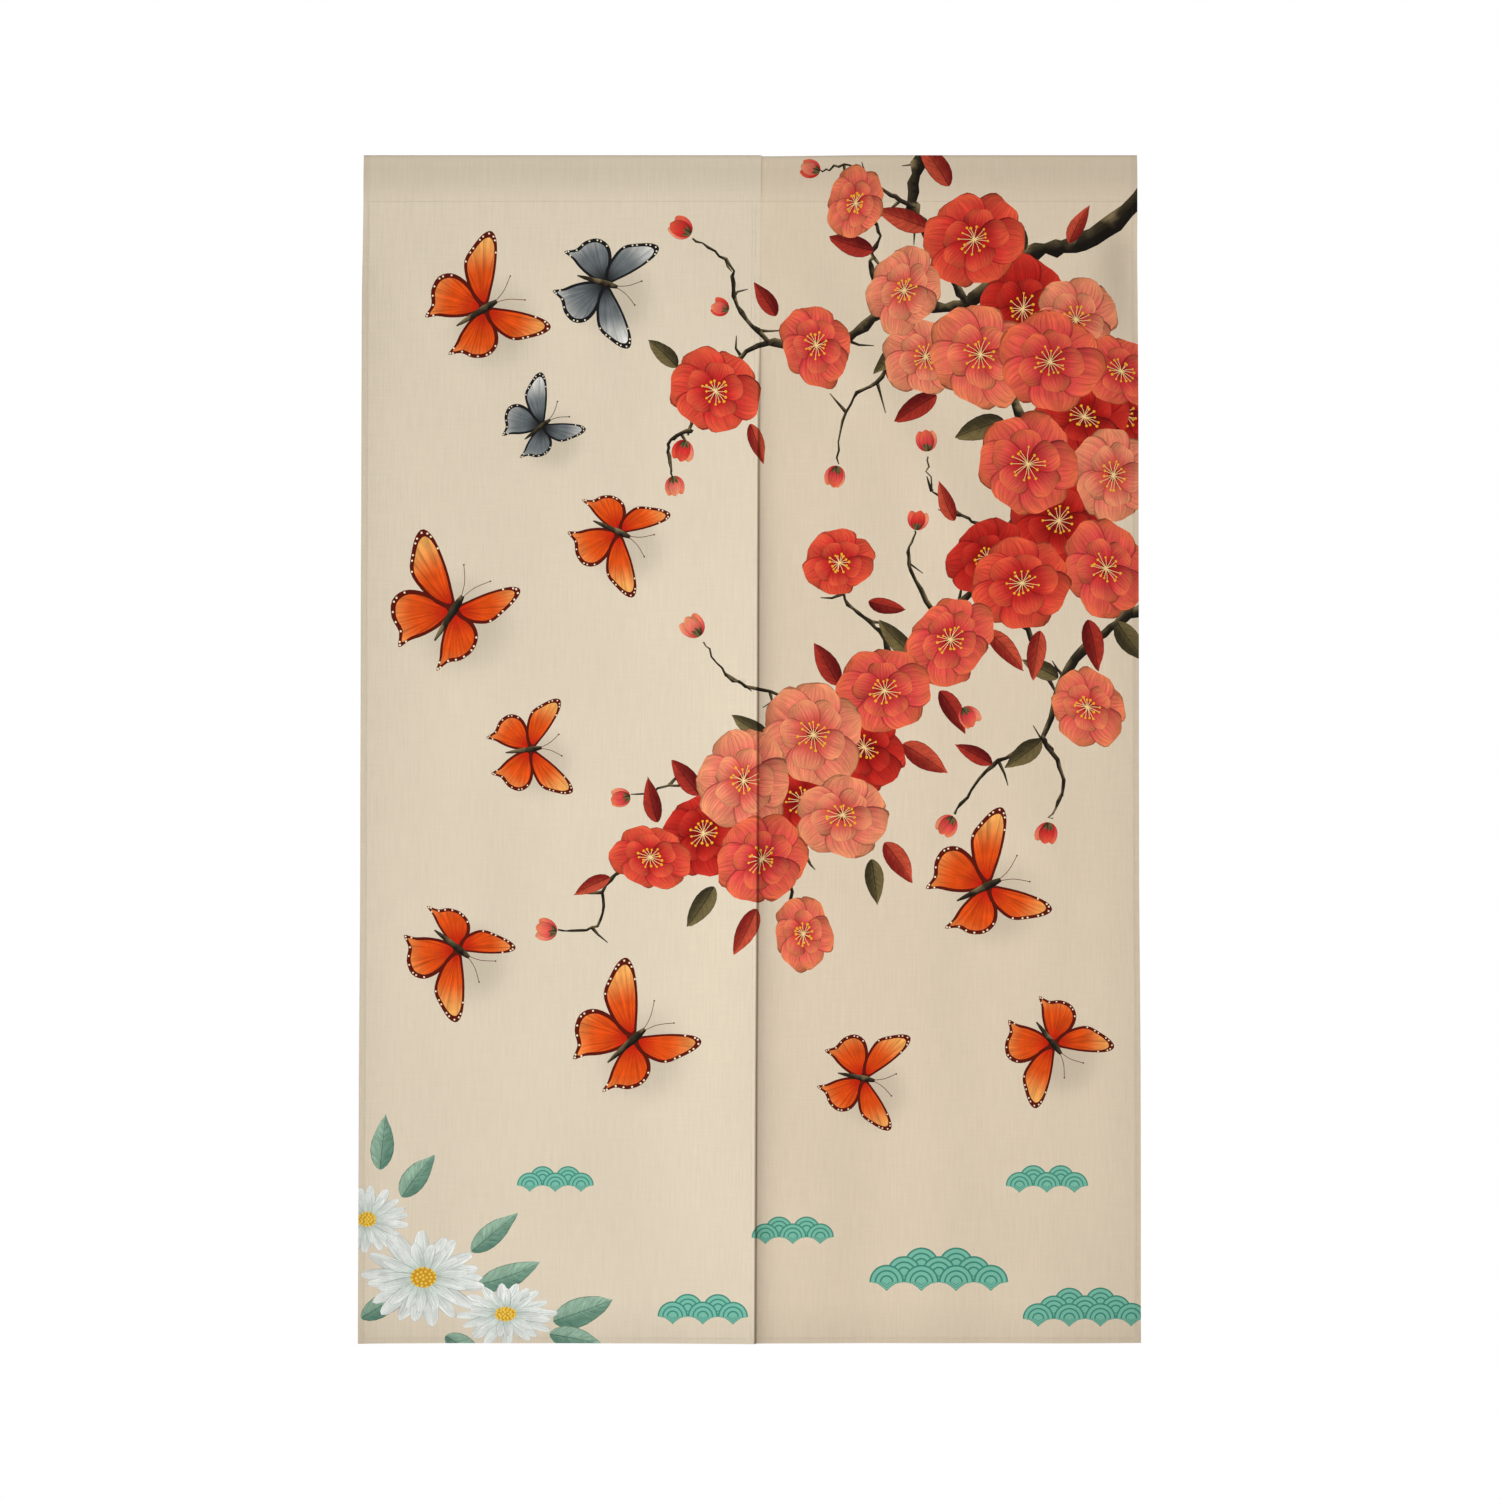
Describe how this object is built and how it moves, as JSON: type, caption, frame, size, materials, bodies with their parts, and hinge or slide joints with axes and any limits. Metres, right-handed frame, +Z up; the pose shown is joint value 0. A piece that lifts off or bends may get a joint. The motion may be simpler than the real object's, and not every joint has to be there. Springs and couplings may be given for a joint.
{
  "type": "noren curtain",
  "caption": "Split door curtain of printed cloth: overlapping flat panels seamed at the top, with an open rod sleeve along the top edge.",
  "frame": {"origin": "middle of the top fold, where the curtain hangs", "axes": "+Z up, +X to the right as seen from the printed side, -Y towards the viewer of the printed side"},
  "size_m": [0.857, 0.0216, 1.3],
  "materials": {
    "panel_cloth": "matt plain-woven cloth with a printed flower pattern",
    "heading_cloth": "matt plain-woven cloth, two layers"
  },
  "bodies": {
    "root": {"heading_sleeve": "heading_cloth", "panel_left": "panel_cloth", "panel_right": "panel_cloth"}
  },
  "joints": []
}
